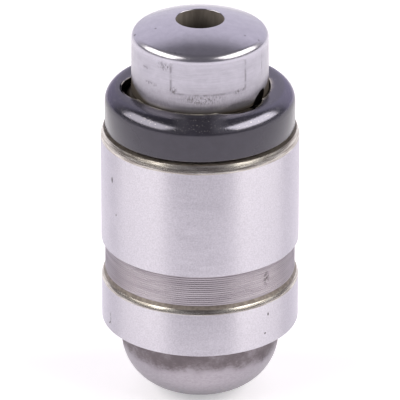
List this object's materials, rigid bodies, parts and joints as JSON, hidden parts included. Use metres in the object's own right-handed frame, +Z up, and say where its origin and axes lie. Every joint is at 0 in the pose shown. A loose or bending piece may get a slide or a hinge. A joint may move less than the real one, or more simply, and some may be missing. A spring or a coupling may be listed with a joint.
{
  "type": "hydraulic valve lifter",
  "caption": "Hydraulic valve lifter: ground cylinder with rounded nose, oil-fed plunger with domed head, notched retaining cap and internal check valve.",
  "frame": {"origin": "tip of the rounded nose, on the lifter's axis", "axes": "+Z up the lifter's axis, from the nose to the domed head"},
  "size_m": [0.017, 0.017, 0.0345],
  "materials": {
    "ground_steel": "centreless ground, satin, with dark heat-treat scale on the nose",
    "black_oxide_steel": "glossy blue-black oxide on drawn sheet steel",
    "polished_steel": "polished dome, fine ground side",
    "lapped_steel": "lapped, bright",
    "bearing_steel": "polished ball",
    "spring_steel": "dark drawn wire",
    "stamped_steel": "dull stamped sheet"
  },
  "bodies": {
    "cylinder": {"housing": "ground_steel", "retaining_cap": "black_oxide_steel", "plunger_spring": "spring_steel"},
    "plunger": {"plunger_head": "polished_steel", "lower_plunger": "lapped_steel", "ball_retainer": "stamped_steel", "ball_spring": "spring_steel"},
    "valve_ball": {"check_ball": "bearing_steel"}
  },
  "joints": [
    {"name": "plunger_slide", "type": "slide", "parent": "cylinder", "child": "plunger", "axis": [0, 0, 1], "range_m": [-0.003, 0], "stiffness_N_per_m": 400, "springref_m": 0.001, "deforming": ["plunger_spring"]},
    {"name": "valve_ball_lift", "type": "slide", "parent": "plunger", "child": "valve_ball", "axis": [0, 0, 1], "range_m": [-0.0004, 0], "stiffness_N_per_m": 20, "springref_m": 0.0005, "deforming": ["ball_spring"]}
  ]
}
